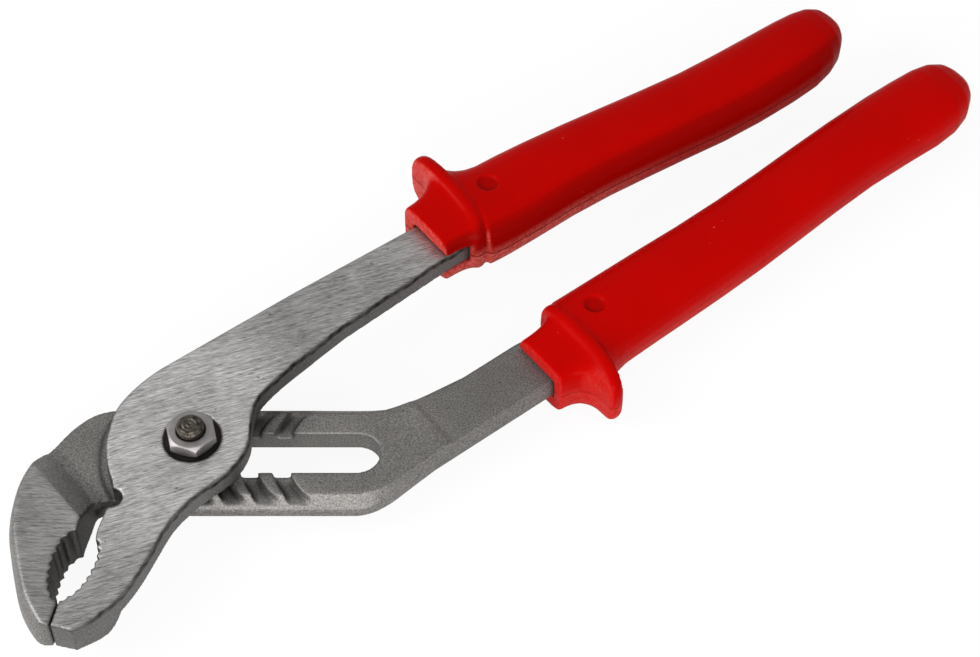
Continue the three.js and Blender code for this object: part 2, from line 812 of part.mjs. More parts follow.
function lowerGrip() {
  return grip({
    height: lowerGripHeight,
    end: lowerGripEnd,
    line: lowerSpine,
    widthColumn: 3,
    collar: {
      across: lowerCollarCentre,
      halfWidth: lowerCollarHalfWidth,
      halfHeight: collarHalfThickness,
      power: lowerCollarPower,
    },
    guard: {
      along: guardAlong - lowerGuardForward,
      across: lowerGuardCentre,
      halfWidth: lowerGuardHalfWidth,
      halfHeight: guardHalfHeight,
      power: guardPower,
      sweep: lowerGuardSweep,
    },
    dimpleAcross: lowerDimpleAcross,
  }).subtract(socket(
    tangRoom(lowerSpine, lowerGripEnd, slottedHandleOuter, slottedHandleInner),
    armBottom,
    armTop - tangStep,
  ));
}

function piece(name, solid, finish) {
  const mesh = new THREE.Mesh(toGeometry(solid), new THREE.MeshStandardMaterial(finish));
  mesh.name = name;
  return mesh;
}

const groundSteel = { color: 0xa3a1a0, roughness: 0.38, metalness: 0.9 };
const forgedSteel = { color: 0x7d7b79, roughness: 0.6, metalness: 0.8 };
const platedSteel = { color: 0xa09c9c, roughness: 0.25, metalness: 0.95 };
const boltSteel = { color: 0x5b5751, roughness: 0.5, metalness: 0.85 };
const redVinyl = { color: 0xcc0400, roughness: 0.35, metalness: 0 };

// The grips are placed in the handles' frame, and the whole tool is lifted onto its resting plane
const handles = new THREE.Group();
handles.rotation.z = (handleAngle * Math.PI) / 180;
handles.add(piece('upper_grip', upperGrip(), redVinyl));
handles.add(piece('lower_grip', lowerGrip(), redVinyl));

const pliers = new THREE.Group();
pliers.position.z = liftOff;
pliers.add(piece('slotted_half', slottedHalf(), forgedSteel));
pliers.add(piece('tongue_half', tongueHalf(), groundSteel));
pliers.add(piece('pivot_bolt', bolt(), boltSteel));
pliers.add(piece('pivot_nut', nut(), platedSteel));
pliers.add(handles);

export default pliers;
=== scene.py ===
# Water pump pliers lying on a white table, lit like a catalogue picture.
# The frame gives every piece its size and place. Each piece is a finer copy of its frame node, with
# the soft edges of a forging or a moulding. Values kept at its corners tell its material where the
# real one is ground or worn, where dirt lies, and where painted shade, shadow or sheen goes.
# Lengths are in millimetres.
from math import radians

import bmesh
import bpy
import numpy as np
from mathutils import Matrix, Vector


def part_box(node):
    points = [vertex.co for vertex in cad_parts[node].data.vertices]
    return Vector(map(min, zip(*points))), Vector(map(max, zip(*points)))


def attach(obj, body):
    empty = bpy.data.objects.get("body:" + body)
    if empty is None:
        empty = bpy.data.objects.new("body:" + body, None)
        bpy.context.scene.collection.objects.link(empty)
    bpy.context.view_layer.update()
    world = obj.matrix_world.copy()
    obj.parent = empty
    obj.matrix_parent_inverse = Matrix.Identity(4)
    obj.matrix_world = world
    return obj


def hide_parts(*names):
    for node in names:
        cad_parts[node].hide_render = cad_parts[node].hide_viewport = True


MM = 0.001

# Columns of a corner's place or normal
X, Y, Z = 0, 1, 2

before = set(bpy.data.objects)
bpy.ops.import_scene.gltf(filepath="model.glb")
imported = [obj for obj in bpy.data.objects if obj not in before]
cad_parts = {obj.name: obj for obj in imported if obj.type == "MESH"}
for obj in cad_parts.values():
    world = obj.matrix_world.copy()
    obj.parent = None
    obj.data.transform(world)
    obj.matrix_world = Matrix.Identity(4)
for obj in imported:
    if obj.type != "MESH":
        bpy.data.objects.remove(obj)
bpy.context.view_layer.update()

# Heights of the plate's top and of the seams halfway up the grips, from the frame
PLATE_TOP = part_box("tongue_half")[1].z / MM
SEAM_HEIGHTS = {
    name: (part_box(name)[0].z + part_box(name)[1].z) / (2 * MM) for name in ("upper_grip", "lower_grip")
}


def linear(hex_colour):
    """An sRGB hex colour as linear red, green, blue and alpha."""
    shares = [int(hex_colour[i : i + 2], 16) / 255 for i in (1, 3, 5)]
    return [s / 12.92 if s <= 0.04045 else ((s + 0.055) / 1.055) ** 2.4 for s in shares] + [1]


def set_inputs(tree, node, inputs):
    """Sets a node's inputs by name, or by place as n0, n1 and so on. Each gets a value, or a link
    from a socket or from another node's first output."""
    for name, value in inputs.items():
        label = name.replace("_", " ")
        by_place = label[0] == "n" and label[1:].isdigit()
        socket = node.inputs[int(label[1:]) if by_place else label]
        if isinstance(value, bpy.types.Node):
            value = value.outputs[0]
        if isinstance(value, bpy.types.NodeSocket):
            tree.links.new(value, socket)
        else:
            socket.default_value = value


def add_node(tree, kind, settings=None, **inputs):
    """Adds a shader node with its settings and its inputs."""
    made = tree.nodes.new(kind)
    for name, value in (settings or {}).items():
        setattr(made, name, value)
    set_inputs(tree, made, inputs)
    return made


# Shapes

# Corners of the frame's loose triangles are joined within this distance
MERGE_DISTANCE = 0.002

# Size of a skin's faces, the rounds that soften its edges, and how far a round moves a corner
STEEL_GRAIN = 0.38
STEEL_ROUNDS = 3
SMALL_GRAIN = 0.14
SMALL_ROUNDS = 3
GRIP_GRAIN = 0.42
GRIP_ROUNDS = 3
SOFTEN_SHARE = 0.5

# How strongly an edge counts as worn, and the rounds of averaging behind wear and hollows
WEAR_GAIN = 5
WEAR_ROUNDS = 2
HOLLOW_ROUNDS = 60

# An edge counts as at least this long, so that one of no length has no direction
SHORTEST_EDGE = 1e-9

# Where its comment says no other, a pair below holds where a change starts and where it is complete.
# In a pair that is named for facing, these are shares of a normal.

# The ground faces: how far under the plate's top the wheel reached, and how level they are.
# Out to these distances from the bolt, the head's ground faces get a painted sheen; further out,
# the jaw's and the handle's get a painted shade.
GROUND_DEPTH = 0.5
GROUND_FACING = (0.75, 0.93)
HEAD_EDGE = (18, 38)
HEAD_PAINTED_SHEEN = 1.22
FAR_PAINTED_SHADE = 0.82

# The mouth between the jaws, its lowest and highest X and then Y, and which toothed faces get painted
# shade
MOUTH = ((-32, -9), (-47, -6))
MOUTH_FADE = 2
LEVEL_FACING = (0.3, 0.75)
TOOTH_FACING = (-0.5, 0.1)

# The crease under the plate's top: the depths where it starts and ends, the side of the plate that
# has it, and the lengths over which it fades at its low and its high end along Y
CREASE_TOP = (0.3, 0.55)
CREASE_FOOT = (1.35, 1.65)
CREASE_FACING = (0.3, 0.7)
CREASE_FADES = (3, 6)

# It wanders up and down by waves, each with a height and with radians for each millimetre. How dark
# it is swings round a middle, with radians for each millimetre along X and along Y.
CREASE_WAVES = ((0.2, 0.7), (0.1, 2.3))
RAGGED_MIDDLE = 0.75
RAGGED_SWING = 0.25
RAGGED_TURNS = (1.9, 1.3)
RAGGED_SHIFT = 0.7

# The seat under the nut: its rim round the bolt, its depth, and how dark its painted shadow is
SEAT_RIM = (6.3, 6.6)
SEAT_DEPTH = (0.1, 0.4)
SEAT_PAINTED_SHADOW = 0.9

# The mould's round mark on each grip
DIMPLE_RADIUS = 2.55
DIMPLE_DEPTH = 0.45
DIMPLE_EDGE = 0.35

# A grip's faces towards the jaws and the painted sheen they get, its near side, which gets painted
# shade, and how far from its front end the painted sheen thins, and by how much
FRONT_FACING = (0.5, 0.85)
FRONT_PAINTED_SHEEN = 0.65
SIDE_FACING = (0.25, 0.7)
PAINTED_SHEEN_THINS = (28, 72)
PAINTED_SHEEN_LOSS = 0.75


def merged_copy(node, name):
    """A copy of a frame node whose loose triangles share their corners."""
    mesh = bpy.data.meshes.new(name)
    shape = bmesh.new()
    shape.from_mesh(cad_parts[node].data)
    bmesh.ops.remove_doubles(shape, verts=shape.verts, dist=MERGE_DISTANCE * MM)
    shape.to_mesh(mesh)
    shape.free()
    piece = bpy.data.objects.new(name, mesh)
    bpy.context.scene.collection.objects.link(piece)
    return piece


def softened(node, name, grain, rounds):
    """A fine skin over a frame node, with its edges rounded by so many rounds of smoothing."""
    piece = merged_copy(node, name)
    skin = piece.modifiers.new("skin", "REMESH")
    skin.mode = "VOXEL"
    skin.voxel_size = grain * MM
    ease = piece.modifiers.new("ease", "SMOOTH")
    ease.factor = SOFTEN_SHARE
    ease.iterations = rounds
    bpy.context.view_layer.update()
    depsgraph = bpy.context.evaluated_depsgraph_get()
    mesh = bpy.data.meshes.new_from_object(piece.evaluated_get(depsgraph))
    piece.modifiers.clear()
    piece.data = mesh
    mesh.shade_smooth()
    return piece


def corners_of(mesh):
    """The places of a mesh's corners in millimetres, and their normals."""
    places = np.empty(len(mesh.vertices) * 3)
    mesh.vertices.foreach_get("co", places)
    normals = np.empty(len(mesh.vertices) * 3)
    mesh.vertices.foreach_get("normal", normals)
    return places.reshape(-1, 3) / MM, normals.reshape(-1, 3)


def edges_of(mesh):
    """The two corners of each edge of a mesh."""
    edges = np.empty(len(mesh.edges) * 2, int)
    mesh.edges.foreach_get("vertices", edges)
    return edges.reshape(-1, 2)


def spread(values, edges, rounds):
    """Averages the value at each corner with its neighbours', for so many rounds."""
    count = np.bincount(edges.ravel(), minlength=len(values))
    for _ in range(rounds):
        total = np.bincount(edges[:, 0], values[edges[:, 1]], len(values))
        total += np.bincount(edges[:, 1], values[edges[:, 0]], len(values))
        values = (values + total / np.maximum(count, 1)) / 2
    return values


def step(low, high, values):
    """Rises smoothly from 0 at the low value to 1 at the high one."""
    share = np.clip((values - low) / (high - low), 0, 1)
    return share * share * (3 - 2 * share)


def keep_values(mesh, name, values):
    """Keeps a value at each corner, for the material to read."""
    attribute = mesh.attributes.new(name, "FLOAT", "POINT")
    attribute.data.foreach_set("value", values.astype(np.float32))


def mark_wear(piece):
    """Keeps how far each corner stands out on an edge, from -1 in a hollow to 1 on a sharp ridge."""
    mesh = piece.data
    places, normals = corners_of(mesh)
    edges = edges_of(mesh)
    ways = places[edges[:, 1]] - places[edges[:, 0]]
    ways /= np.maximum(np.linalg.norm(ways, axis=1, keepdims=True), SHORTEST_EDGE)
    out = np.zeros(len(places))
    np.add.at(out, edges[:, 0], -(ways * normals[edges[:, 0]]).sum(axis=1))
    np.add.at(out, edges[:, 1], (ways * normals[edges[:, 1]]).sum(axis=1))
    out /= np.maximum(np.bincount(edges.ravel(), minlength=len(places)), 1)
    keep_values(mesh, "wear", np.clip(spread(out, edges, WEAR_ROUNDS) * WEAR_GAIN, -1, 1))


def mark_hollow(piece):
    """Keeps how deep each corner lies, in millimetres, under the surface averaged round it."""
    mesh = piece.data
    places, normals = corners_of(mesh)
    edges = edges_of(mesh)
    around = np.column_stack([spread(places[:, axis], edges, HOLLOW_ROUNDS) for axis in (X, Y, Z)])
    keep_values(mesh, "hollow", ((around - places) * normals).sum(axis=1))


def mark_ground(piece):
    """Keeps where the grinding wheel has cut: the flat faces at the height of the plate's top.
    It also keeps a painted sheen on the ground faces, brighter on the head and darker on the jaw and the
    handle."""
    mesh = piece.data
    places, normals = corners_of(mesh)
    high = step(PLATE_TOP - GROUND_DEPTH, PLATE_TOP - GROUND_DEPTH / 2, places[:, Z])
    ground = high * step(*GROUND_FACING, normals[:, Z])
    near = 1 - step(*HEAD_EDGE, np.hypot(places[:, X], places[:, Y]))
    keep_values(mesh, "ground", ground)
    keep_values(mesh, "painted_sheen", 1 + ground * (FAR_PAINTED_SHADE + (HEAD_PAINTED_SHEEN - FAR_PAINTED_SHADE) * near - 1))


def mark_mouth_shade(piece, facing):
    """Keeps a painted shade on the jaws' upright toothed faces in the mouth.
    Facing is 1 for a jaw whose toothed faces look along +X, and -1 for the other."""
    mesh = piece.data
    places, normals = corners_of(mesh)
    toothed = 1 - step(*LEVEL_FACING, np.abs(normals[:, Z]))
    toothed *= step(*TOOTH_FACING, facing * normals[:, X])
    for axis, (low, high) in zip((X, Y), MOUTH):
        toothed *= step(low, low + MOUTH_FADE, places[:, axis])
        toothed *= 1 - step(high - MOUTH_FADE, high, places[:, axis])
    keep_values(mesh, "mouth_shade", toothed)


def crease(places, normals, low_end, high_end):
    """How dark the crease is that the trimmed flash leaves just under the top of the plate's near
    side, from one end to the other along Y."""
    along = places[:, Y]
    wander = sum(height * np.sin(turn * along) for height, turn in CREASE_WAVES)
    depth = PLATE_TOP - places[:, Z] + wander
    band = step(*CREASE_TOP, depth) * (1 - step(*CREASE_FOOT, depth))
    outside = step(*CREASE_FACING, normals[:, X] - normals[:, Y])
    low_fade, high_fade = CREASE_FADES
    reach = step(low_end, low_end + low_fade, along) * (1 - step(high_end - high_fade, high_end, along))
    across_turn, along_turn = RAGGED_TURNS
    swing = np.sin(places[:, X] * across_turn) * np.sin(along * along_turn + RAGGED_SHIFT)
    return band * outside * reach * (RAGGED_MIDDLE + RAGGED_SWING * swing)


def mark_seat_shadow_and_crease(piece, crease_ends):
    """Keeps a painted shadow on the seat under the nut, and the darker crease if the piece has the
    ends of one."""
    mesh = piece.data
    places, normals = corners_of(mesh)
    away = np.hypot(places[:, X], places[:, Y])
    # Painted shadow on the seat round the bolt
    seat_shadow_and_crease = SEAT_PAINTED_SHADOW * (1 - step(*SEAT_RIM, away)) * step(*SEAT_DEPTH, PLATE_TOP - places[:, Z])
    if crease_ends:
        seat_shadow_and_crease = np.maximum(seat_shadow_and_crease, crease(places, normals, *crease_ends))
    keep_values(mesh, "seat_shadow_and_crease", seat_shadow_and_crease)


def mark_painted_sheen_and_shade(piece, side_shade_share):
    """Keeps a grip's painted sheen and painted shade. The front looks along the handle to the jaws, and
    its faces get a painted sheen. The side is the near one, which gets a painted shade of darker red.
    The painted sheen is kept as the share of its full strength that is left along the grip, most of it
    near the guard."""
    mesh = piece.data
    places, normals = corners_of(mesh)
    along = np.linalg.eigh(np.cov(places.T))[1][:, -1]
    along *= np.sign(along[X])
    near = np.array([along[Y], -along[X], 0]) / np.hypot(along[X], along[Y])
    reach = places @ along
    # The faces towards the jaws get a painted sheen
    keep_values(mesh, "front", FRONT_PAINTED_SHEEN * step(*FRONT_FACING, -(normals @ along)))
    # The near side gets a painted shade of darker red
    keep_values(mesh, "side", side_shade_share * step(*SIDE_FACING, normals @ near))
    keep_values(mesh, "painted_sheen_along", 1 - PAINTED_SHEEN_LOSS * step(*PAINTED_SHEEN_THINS, reach - reach.min()))


def press_dimple(piece, middle):
    """Presses the mould's small round mark into the top of a grip."""
    mesh = piece.data
    places, normals = corners_of(mesh)
    away = np.hypot(places[:, X] - middle[X], places[:, Y] - middle[Y])
    pressed = (1 - step(DIMPLE_RADIUS - DIMPLE_EDGE, DIMPLE_RADIUS, away)) * (normals[:, Z] > 0)
    places[:, Z] -= DIMPLE_DEPTH * pressed
    mesh.vertices.foreach_set("co", (places * MM).ravel())
    mesh.update()
    keep_values(mesh, "pressed", pressed)


# Materials

# A colour mix takes its two colours at n6 and n7 and gives their mix at outputs[2]. A number mix
# takes its two numbers at n2 and n3 and gives their mix at its first output.
COLOUR_MIX = {"data_type": "RGBA"}
COLOUR_PRODUCT = {"data_type": "RGBA", "blend_type": "MULTIPLY"}
NUMBER_MIX = {"data_type": "FLOAT"}

ADD = {"operation": "ADD"}
SUBTRACT = {"operation": "SUBTRACT"}
MULTIPLY = {"operation": "MULTIPLY"}
MULTIPLY_ADD = {"operation": "MULTIPLY_ADD"}
CLAMPED_MULTIPLY_ADD = {"operation": "MULTIPLY_ADD", "use_clamp": True}
MAXIMUM = {"operation": "MAXIMUM"}
ABSOLUTE = {"operation": "ABSOLUTE"}
LESS_THAN = {"operation": "LESS_THAN"}


def shader(name, **values):
    """A material whose surface is one Principled BSDF, with the given constant sockets."""
    made = bpy.data.materials.new(name)
    made.use_nodes = True
    surface = made.node_tree.nodes["Principled BSDF"]
    set_inputs(made.node_tree, surface, values)
    return made, made.node_tree, surface


# The wheel's two crossing sets of lines: their turn in degrees, how far apart and how long they are.
# The real lines are finer, and these are as coarse as they need to be to show.
WHEEL_LINES = ((0, 0.34, 5), (-9, 0.26, 2.2))
WHEEL_NOISE = {"Scale": 1.0, "Detail": 4.0, "Roughness": 0.7}
WHEEL_CONTRAST = {"From_Min": 0.74, "From_Max": 1.26}

# The blast's grain, as coarse as it needs to be to show, and the slow change of tone of the scale
BLAST_GRAIN = 0.36
BLAST_CONTRAST = {"From_Min": 0.3, "From_Max": 0.7}
CLOUD_SIZE = 14
CLOUD_TONE = {"From_Min": 0.25, "From_Max": 0.75, "To_Min": 0.8, "To_Max": 1.1}

# Torn pits: how far apart they are, the bites in their rims, the fields where they gather, and how
# large they grow there, in shares of their spacing
PIT_SPACING = 2.2
RIM_BITE = 0.5
PIT_FIELD = 2 * PIT_SPACING
PIT_LIMIT = {"From_Min": 0.48, "From_Max": 0.68, "To_Max": 0.16}

# Edges have a painted shade that dims their highlights, and patches that handling has polished
EDGE_PAINTED_SHADE = {"From_Min": 0.25, "From_Max": 0.8, "To_Min": 1.0, "To_Max": 0.55}
EDGE_WORN = {"From_Min": 0.35, "From_Max": 0.95}
EDGE_PATCHES = {"From_Min": 0.38, "From_Max": 0.62, "To_Max": 0.3}
EDGE_TONE = "#B4B2B0"

# Dirt with painted shade in the hollows, which a depth in millimetres gives; the share of painted
# shade on the toothed faces, and of dirt in the pits
HOLLOW_DIRT_AND_SHADE = {"From_Min": 0.1, "From_Max": 0.42, "To_Max": 0.85}
MOUTH_SHADE_SHARE = 0.6
PIT_DIRT = 0.5
DIRT_AND_SHADE_TONE = "#2B2926"

# The crease and the seat are sunk this many times as deep as a pit
CREASE_DENT = 6.0
STEEL_RELIEF = {"Strength": 0.3, "Distance": 0.05 * MM}
BLASTED_ROUGHNESS = 0.6
GROUND_ROUGHNESS = 0.42


def wheel_lines(tree, place, wheel_angle):
    """The grinding wheel's fine lines, from 0 in a dark one to 1 in a light one."""
    sets = []
    for turn, apart, length in WHEEL_LINES:
        rotation = (0, 0, -radians(wheel_angle + turn))
        scale = (1 / (length * MM), 1 / (apart * MM), 1 / (length * MM))
        turned = add_node(tree, "ShaderNodeMapping", Vector=place, Rotation=rotation)
        drawn = add_node(tree, "ShaderNodeMapping", Vector=turned, Scale=scale)
        sets.append(add_node(tree, "ShaderNodeTexNoise", Vector=drawn, **WHEEL_NOISE))
    both = add_node(tree, "ShaderNodeMath", ADD, n0=sets[0], n1=sets[1])
    return add_node(tree, "ShaderNodeMapRange", Value=both, **WHEEL_CONTRAST)


def torn_pits(tree, place):
    """Small torn pits, 1 in a pit and 0 beside it: the middles of cells, pushed out of round by a
    fine noise."""
    ragged = add_node(tree, "ShaderNodeTexNoise", Vector=place, Scale=1 / (RIM_BITE * MM), Detail=2.0)
    bite = (RIM_BITE * MM,) * 3
    pushed = add_node(
        tree, "ShaderNodeVectorMath", MULTIPLY_ADD, n0=ragged.outputs["Color"], n1=bite, n2=place
    )
    cells = add_node(tree, "ShaderNodeTexVoronoi", Vector=pushed, Scale=1 / (PIT_SPACING * MM))
    field = add_node(tree, "ShaderNodeTexNoise", Vector=place, Scale=1 / (PIT_FIELD * MM), Detail=2.0)
    limit = add_node(tree, "ShaderNodeMapRange", Value=field, **PIT_LIMIT)
    return add_node(tree, "ShaderNodeMath", LESS_THAN, n0=cells, n1=limit)


def steel(name, wheel_angle, ground_tones, blasted_tones):
    """Chrome vanadium steel, drop-forged and shot-blasted, with its top ground flat.
    The blasted skin is dull and finely grained, and the ground face shows the wheel's fine lines."""
    made, tree, surface = shader(name, Metallic=1.0)
    place = add_node(tree, "ShaderNodeTexCoord").outputs["Object"]
    ground, painted_sheen, wear, hollow, mouth_shade, seat_shadow_and_crease = [
        add_node(tree, "ShaderNodeAttribute", {"attribute_name": kept}).outputs["Fac"]
        for kept in ("ground", "painted_sheen", "wear", "hollow", "mouth_shade", "seat_shadow_and_crease")
    ]
    lines = wheel_lines(tree, place, wheel_angle)
    pits = torn_pits(tree, place)
    grain = add_node(tree, "ShaderNodeTexNoise", Vector=place, Scale=1 / (BLAST_GRAIN * MM), Detail=2.0)
    cloud = add_node(tree, "ShaderNodeTexNoise", Vector=place, Scale=1 / (CLOUD_SIZE * MM), Detail=4.0)

    # The skin's tone, lined where it is ground and grained where it is blasted
    dark, light = [linear(tone) for tone in ground_tones]
    lined = add_node(tree, "ShaderNodeMix", COLOUR_MIX, Factor=lines, n6=dark, n7=light).outputs[2]
    dark, light = [linear(tone) for tone in blasted_tones]
    contrast = add_node(tree, "ShaderNodeMapRange", Value=grain, **BLAST_CONTRAST)
    grained = add_node(tree, "ShaderNodeMix", COLOUR_MIX, Factor=contrast, n6=dark, n7=light).outputs[2]
    plain = add_node(tree, "ShaderNodeMix", COLOUR_MIX, Factor=ground, n6=grained, n7=lined).outputs[2]

    # The cloud of the scale, the painted sheen of the ground faces and the painted shade on the edges
    # change its tone
    clouded = add_node(tree, "ShaderNodeMapRange", Value=cloud, **CLOUD_TONE)
    # Painted shade on the edges that stand out
    edges = add_node(tree, "ShaderNodeMapRange", Value=wear, **EDGE_PAINTED_SHADE)
    sheen_and_edge_shade = add_node(tree, "ShaderNodeMath", MULTIPLY, n0=painted_sheen, n1=edges)
    level = add_node(tree, "ShaderNodeMath", MULTIPLY, n0=clouded, n1=sheen_and_edge_shade)
    toned = add_node(tree, "ShaderNodeMix", COLOUR_PRODUCT, Factor=1.0, n6=plain, n7=level).outputs[2]

    # Handling polishes the ridges. Dirt with painted shade darkens the hollows, painted shade the
    # toothed faces, dirt the pits, painted shadow the seat, and the crease is darker too
    worn = add_node(tree, "ShaderNodeMapRange", Value=wear, **EDGE_WORN)
    patches = add_node(tree, "ShaderNodeMapRange", Value=cloud, **EDGE_PATCHES)
    deep = add_node(tree, "ShaderNodeMapRange", Value=hollow, **HOLLOW_DIRT_AND_SHADE)
    ridges = add_node(tree, "ShaderNodeMath", MULTIPLY, n0=worn, n1=patches)
    dirt_and_shade = add_node(tree, "ShaderNodeMath", CLAMPED_MULTIPLY_ADD, n0=mouth_shade, n1=MOUTH_SHADE_SHARE, n2=deep)
    pits_seat_shadow_and_crease = add_node(tree, "ShaderNodeMath", CLAMPED_MULTIPLY_ADD, n0=pits, n1=PIT_DIRT, n2=seat_shadow_and_crease)
    finish = toned
    for share, tone in ((ridges, EDGE_TONE), (dirt_and_shade, DIRT_AND_SHADE_TONE), (pits_seat_shadow_and_crease, DIRT_AND_SHADE_TONE)):
        layer = add_node(tree, "ShaderNodeMix", COLOUR_MIX, Factor=share, n6=finish, n7=linear(tone))
        finish = layer.outputs[2]

    gloss = add_node(
        tree, "ShaderNodeMapRange", Value=ground, To_Min=BLASTED_ROUGHNESS, To_Max=GROUND_ROUGHNESS
    )
    skin = add_node(tree, "ShaderNodeMix", NUMBER_MIX, Factor=ground, n2=grain, n3=lines)
    dents = add_node(tree, "ShaderNodeMath", MULTIPLY_ADD, n0=seat_shadow_and_crease, n1=CREASE_DENT, n2=pits)
    height = add_node(tree, "ShaderNodeMath", SUBTRACT, n0=skin, n1=dents)
    bump = add_node(tree, "ShaderNodeBump", Height=height, **STEEL_RELIEF)
    set_inputs(tree, surface, {"Base Color": finish, "Roughness": gloss, "Normal": bump})
    return made


# The nut's plating: the size of its cloudy satin, its tones, and the painted highlights on its edges
PLATING_CLOUD = 2.2
PLATING_DARK = "#858180"
PLATING_LIGHT = "#AAA6A5"
PLATING_HIGHLIGHT = "#DAD7D5"
PLATING_HIGHLIGHT_EDGES = {"From_Min": 0.3, "From_Max": 0.8, "To_Max": 0.55}
PLATING_ROUGHNESS = {"To_Min": 0.42, "To_Max": 0.54}


def zinc_plating():
    """Zinc plate on the nut: clean and satin from its tumbled blank, with painted highlights along its
    edges.
    """
    made, tree, surface = shader("zinc_plating", Metallic=1.0)
    place = add_node(tree, "ShaderNodeTexCoord").outputs["Object"]
    wear = add_node(tree, "ShaderNodeAttribute", {"attribute_name": "wear"}).outputs["Fac"]
    dark, light, edge = [linear(tone) for tone in (PLATING_DARK, PLATING_LIGHT, PLATING_HIGHLIGHT)]
    cloud = add_node(tree, "ShaderNodeTexNoise", Vector=place, Scale=1 / (PLATING_CLOUD * MM), Detail=3.0)
    satin = add_node(tree, "ShaderNodeMix", COLOUR_MIX, Factor=cloud, n6=dark, n7=light).outputs[2]
    # Painted highlights on the edges that stand out
    ridges = add_node(tree, "ShaderNodeMapRange", Value=wear, **PLATING_HIGHLIGHT_EDGES)
    highlighted = add_node(tree, "ShaderNodeMix", COLOUR_MIX, Factor=ridges, n6=satin, n7=edge).outputs[2]
    gloss = add_node(tree, "ShaderNodeMapRange", Value=cloud, **PLATING_ROUGHNESS)
    set_inputs(tree, surface, {"Base Color": highlighted, "Roughness": gloss})
    return made


# The bolt's hammered end: the size of its lumps, its tones, its edges and its relief
LUMP_SIZE = 1.1
LUMP_CONTRAST = {"From_Min": 0.35, "From_Max": 0.65}
SCALE_DARK = "#322D28"
SCALE_LIGHT = "#6A645D"
SCALE_EDGE = "#A9A39B"
SCALE_WORN = {"From_Min": 0.35, "From_Max": 0.9, "To_Max": 0.6}
SCALE_ROUGHNESS = {"To_Min": 0.55, "To_Max": 0.32}
BOLT_RELIEF = {"Strength": 0.8, "Distance": 0.22 * MM}

# The lumps stand this many times as high as the turned rings
LUMP_HEIGHT = 1.5

# The wave texture's rings lie WAVE_TURN apart at a scale of 1, and the real ones RING_PITCH
WAVE_TURN = 0.314
RING_PITCH = 0.95
RING_SHAPE = {"wave_type": "RINGS", "rings_direction": "Z"}
RING_NOISE = {"Scale": WAVE_TURN / (RING_PITCH * MM), "Distortion": 0.7, "Detail": 2.0}


def dark_bolt_steel():
    """Heat-treated bolt steel, dark with scale, whose end is hammered over and rough."""
    made, tree, surface = shader("dark_bolt_steel", Metallic=1.0)
    place = add_node(tree, "ShaderNodeTexCoord").outputs["Object"]
    wear = add_node(tree, "ShaderNodeAttribute", {"attribute_name": "wear"}).outputs["Fac"]
    dark, light, edge = [linear(tone) for tone in (SCALE_DARK, SCALE_LIGHT, SCALE_EDGE)]
    lumps = add_node(
        tree, "ShaderNodeTexNoise", Vector=place, Scale=1 / (LUMP_SIZE * MM), Detail=4.0, Roughness=0.6
    )
    raised = add_node(tree, "ShaderNodeMapRange", Value=lumps, **LUMP_CONTRAST)
    scale = add_node(tree, "ShaderNodeMix", COLOUR_MIX, Factor=raised, n6=dark, n7=light).outputs[2]
    ridges = add_node(tree, "ShaderNodeMapRange", Value=wear, **SCALE_WORN)
    polished = add_node(tree, "ShaderNodeMix", COLOUR_MIX, Factor=ridges, n6=scale, n7=edge).outputs[2]
    gloss = add_node(tree, "ShaderNodeMapRange", Value=raised, **SCALE_ROUGHNESS)
    rings = add_node(tree, "ShaderNodeTexWave", RING_SHAPE, Vector=place, **RING_NOISE).outputs["Fac"]
    rough = add_node(tree, "ShaderNodeMath", MULTIPLY_ADD, n0=lumps, n1=LUMP_HEIGHT, n2=rings)
    bump = add_node(tree, "ShaderNodeBump", Height=rough, **BOLT_RELIEF)
    set_inputs(tree, surface, {"Base Color": polished, "Roughness": gloss, "Normal": bump})
    return made


# The vinyl's slow change of red, its patches of gloss, and the deep red of the painted shade on its
# near side and in the mould's mark, and of its seam
RED_CLOUD = 22
GLOSS_PATCH = 9
VINYL_ROUGHNESS = {"From_Min": 0.3, "From_Max": 0.7, "To_Min": 0.3, "To_Max": 0.42}
DEEP_RED = "#5A0200"
MARK_SHADE = 0.3

# Scuffs: pale flecks this far apart, which show only in some of the patches
FLECK_SPACING = 2.4
FLECK_LIMIT = {"From_Min": 0.56, "From_Max": 0.74, "To_Max": 0.12}
FLECK_SHARE = 0.35

# The seam: how wide it is to each side, and how deep beside the moulding's fine grain
SEAM_WIDTH = {"From_Min": 0.12 * MM, "From_Max": 0.38 * MM, "To_Min": 1.0, "To_Max": 0.0}
SEAM_DENT = -2
FINE_GRAIN = 1.6
VINYL_RELIEF = {"Strength": 0.25, "Distance": 0.08 * MM}

# The painted sheen, a painted reflection of the white table, also the tone of the scuffs: it grows
# from a little over the seam to a little under it, and is speckled from this part of its full share
# up to the whole of it
PAINTED_SHEEN_GROWS = {"From_Min": 2.2 * MM, "From_Max": -0.6 * MM}
SPECKLE_SIZE = 0.9
SPECKLE_CONTRAST = {"From_Min": 0.38, "From_Max": 0.62}
SPECKLE_FLOOR = 1 / 3
SHEEN_AND_SCUFF_TONE = "#E5786E"


def vinyl_scuffs(tree, place, patches):
    """How pale the small flecks are that gather in some of the patches."""
    cells = add_node(tree, "ShaderNodeTexVoronoi", Vector=place, Scale=1 / (FLECK_SPACING * MM))
    limit = add_node(tree, "ShaderNodeMapRange", Value=patches, **FLECK_LIMIT)
    fleck = add_node(tree, "ShaderNodeMath", LESS_THAN, n0=cells, n1=limit)
    return add_node(tree, "ShaderNodeMath", MULTIPLY, n0=fleck, n1=FLECK_SHARE)


def vinyl_speckle(tree, place, painted_sheen_share):
    """How pale the full painted sheen is from spot to spot."""
    speckle = add_node(
        tree, "ShaderNodeTexNoise", Vector=place, Scale=1 / (SPECKLE_SIZE * MM), Detail=3.0, Roughness=0.7
    )
    shares = {"To_Min": painted_sheen_share * SPECKLE_FLOOR, "To_Max": painted_sheen_share}
    return add_node(tree, "ShaderNodeMapRange", Value=speckle, **SPECKLE_CONTRAST, **shares)


